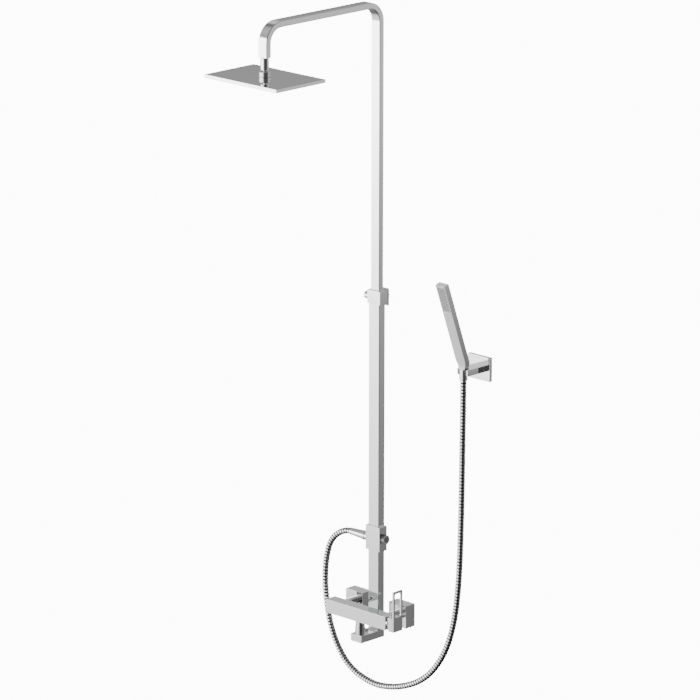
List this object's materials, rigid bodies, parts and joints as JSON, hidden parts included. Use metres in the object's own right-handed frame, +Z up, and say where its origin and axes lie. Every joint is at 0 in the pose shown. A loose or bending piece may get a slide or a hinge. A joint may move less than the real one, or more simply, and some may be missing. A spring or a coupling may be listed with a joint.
{
  "type": "rainfall shower column",
  "caption": "Wall-mounted shower column: lever mixer, rectangular riser with diverter, sliding arm, swivelling rain head, and a stick hand shower on a wall holder.",
  "frame": {"origin": "in the wall plane, midway between the two water inlets and on the height of their axes", "axes": "+X to the right along the wall, +Y into the wall, +Z up"},
  "size_m": [0.5334, 0.5138, 1.7297],
  "materials": {
    "polished_chrome": "polished chrome plating on brass",
    "satin_metal": "satin metal: hose wrap, spray faces and spacer",
    "raw_brass": "unplated brass",
    "screw_steel": "stainless steel screws and hidden base",
    "seal_rubber": "black seal rubber",
    "ceramic_body": "cartridge body",
    "white_plastic": "low-friction guide plastic",
    "grey_liner": "grey holder liner",
    "silicone_mat": "grey silicone nozzle mat"
  },
  "bodies": {
    "column": {"bracket_screw": "screw_steel", "cartridge": "ceramic_body", "cartridge_nut": "polished_chrome", "cartridge_seal": "seal_rubber", "clamp_back_plate": "polished_chrome", "clamp_collar": "polished_chrome", "clamp_pad": "white_plastic", "diverter_body": "polished_chrome", "diverter_cartridge": "ceramic_body", "elbow_plug": "raw_brass", "guide_bush": "white_plastic", "holder_base": "screw_steel", "holder_plate": "polished_chrome", "holder_screw_left": "screw_steel", "holder_screw_right": "screw_steel", "holder_yoke": "polished_chrome", "hose_cone_nut": "polished_chrome", "hose_tap": "polished_chrome", "hose_washer_lower": "seal_rubber", "mixer_body": "polished_chrome", "outlet_nut": "polished_chrome", "outlet_washer": "seal_rubber", "riser_elbow": "polished_chrome", "riser_foot_tube": "polished_chrome", "riser_main_tube": "polished_chrome", "riser_seal_lower": "seal_rubber", "riser_seal_upper": "seal_rubber", "shower_hose": "satin_metal", "strainer_washer_left": "seal_rubber", "strainer_washer_right": "seal_rubber", "union_nut_left": "polished_chrome", "union_nut_right": "polished_chrome", "wall_box_left": "polished_chrome", "wall_box_right": "polished_chrome", "wall_spacer": "satin_metal", "wall_union_left": "raw_brass", "wall_union_right": "raw_brass", "yoke_liner": "grey_liner", "yoke_screw": "screw_steel"},
    "mixer_carrier": {"cartridge_carrier": "raw_brass"},
    "lever": {"lever_stem": "screw_steel", "handle_block": "polished_chrome", "handle_screw": "screw_steel", "lever_loop": "polished_chrome"},
    "diverter_handle": {"diverter_knob": "polished_chrome"},
    "clamp_handle": {"clamp_knob": "polished_chrome"},
    "sliding_riser": {"riser_arm": "polished_chrome", "slide_seal_carrier": "white_plastic", "slide_seal": "seal_rubber", "ball_connector": "polished_chrome"},
    "ball_ring": {"ball_slip_ring": "white_plastic"},
    "rain_head": {"swivel_nut": "polished_chrome", "ball_seat": "white_plastic", "rain_head_shell": "polished_chrome", "nozzle_plate": "satin_metal", "nozzle_mat": "silicone_mat"},
    "hand_shower": {"handset_body": "polished_chrome", "handset_spray_face": "satin_metal", "hose_nut": "polished_chrome", "hose_washer_upper": "seal_rubber"}
  },
  "joints": [
    {"name": "mixer_temperature", "type": "hinge", "parent": "column", "child": "mixer_carrier", "pos_m": [0.108, -0.0872, 0], "axis": [1, 0, 0], "range_deg": [-45, 45]},
    {"name": "mixer_lift", "type": "hinge", "parent": "mixer_carrier", "child": "lever", "pos_m": [0.108, -0.0872, 0], "axis": [0, 1, 0], "range_deg": [0, 20]},
    {"name": "diverter_turn", "type": "hinge", "parent": "column", "child": "diverter_handle", "pos_m": [0.029, -0.0306, 0.18525], "axis": [1, 0, 0], "range_deg": [0, 90]},
    {"name": "clamp_turn", "type": "hinge", "parent": "column", "child": "clamp_handle", "pos_m": [-0.03, -0.0306, 0.801], "axis": [1, 0, 0], "range_deg": [0, 360]},
    {"name": "riser_slide", "type": "slide", "parent": "column", "child": "sliding_riser", "axis": [0, 0, 1], "range_m": [-0.22, 0.2]},
    {"name": "head_roll", "type": "hinge", "parent": "sliding_riser", "child": "ball_ring", "pos_m": [0, -0.4138, 1.4188], "axis": [1, 0, 0], "range_deg": [-10, 10]},
    {"name": "head_tilt", "type": "hinge", "parent": "ball_ring", "child": "rain_head", "pos_m": [0, -0.4138, 1.4188], "axis": [0, 1, 0], "range_deg": [-10, 10]},
    {"name": "handset_lift", "type": "slide", "parent": "column", "child": "hand_shower", "axis": [0, 0, 1], "range_m": [0, 0.04]}
  ]
}
